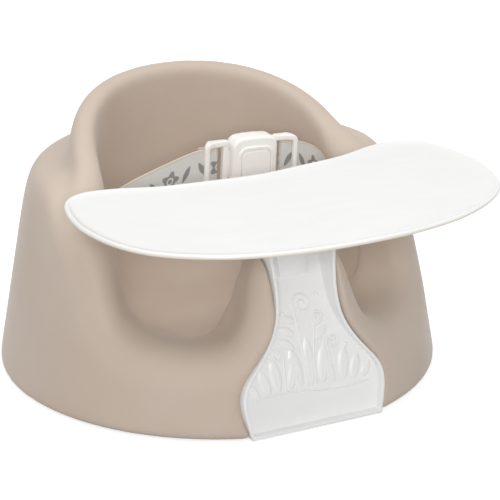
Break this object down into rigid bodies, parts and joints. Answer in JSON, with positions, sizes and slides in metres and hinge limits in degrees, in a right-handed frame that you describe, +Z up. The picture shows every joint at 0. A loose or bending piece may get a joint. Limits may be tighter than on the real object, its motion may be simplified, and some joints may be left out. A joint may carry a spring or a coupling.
{
  "type": "baby floor seat",
  "caption": "Moulded foam floor seat for a baby, with leg channels, a raised backrest, a play tray on a flared leg and a waist belt with a centre push buckle.",
  "frame": {"origin": "on the floor, on the seat's upright middle axis", "axes": "+Z up, -Y towards the front of the seat, where the tray is, +X to the right as seen from the front"},
  "size_m": [0.3766, 0.4398, 0.2333],
  "materials": {
    "foam": "soft moulded foam with a smooth matt skin",
    "webbing": "woven printed webbing",
    "buckle_plastic": "satin off-white plastic",
    "tray_plastic": "smooth white plastic"
  },
  "bodies": {
    "seat": {"seat_body": "foam", "strap_anchor_left": "buckle_plastic", "strap_anchor_right": "buckle_plastic", "belt_left": "webbing", "belt_right": "webbing", "buckle_back_shell": "buckle_plastic", "buckle_front_cover": "buckle_plastic"},
    "tray": {"tray_top": "tray_plastic", "tray_leg": "tray_plastic"},
    "tongue": {"latch_tongue": "buckle_plastic", "latch_finger": "buckle_plastic"},
    "button": {"release_button": "buckle_plastic"}
  },
  "joints": [
    {"name": "tray_pull_off", "type": "slide", "parent": "seat", "child": "tray", "axis": [0, -1, 0], "range_m": [0, 0.25]},
    {"name": "tongue_release", "type": "slide", "parent": "seat", "child": "tongue", "axis": [-0.999, 0, 0.0436], "range_m": [0, 0.04], "deforming": ["belt_left", "latch_finger"]},
    {"name": "button_press", "type": "slide", "parent": "seat", "child": "button", "axis": [0, 1, 0], "range_m": [0, 0.003], "stiffness_N_per_m": 350, "springref_m": -0.001, "deforming": ["latch_finger"]}
  ]
}
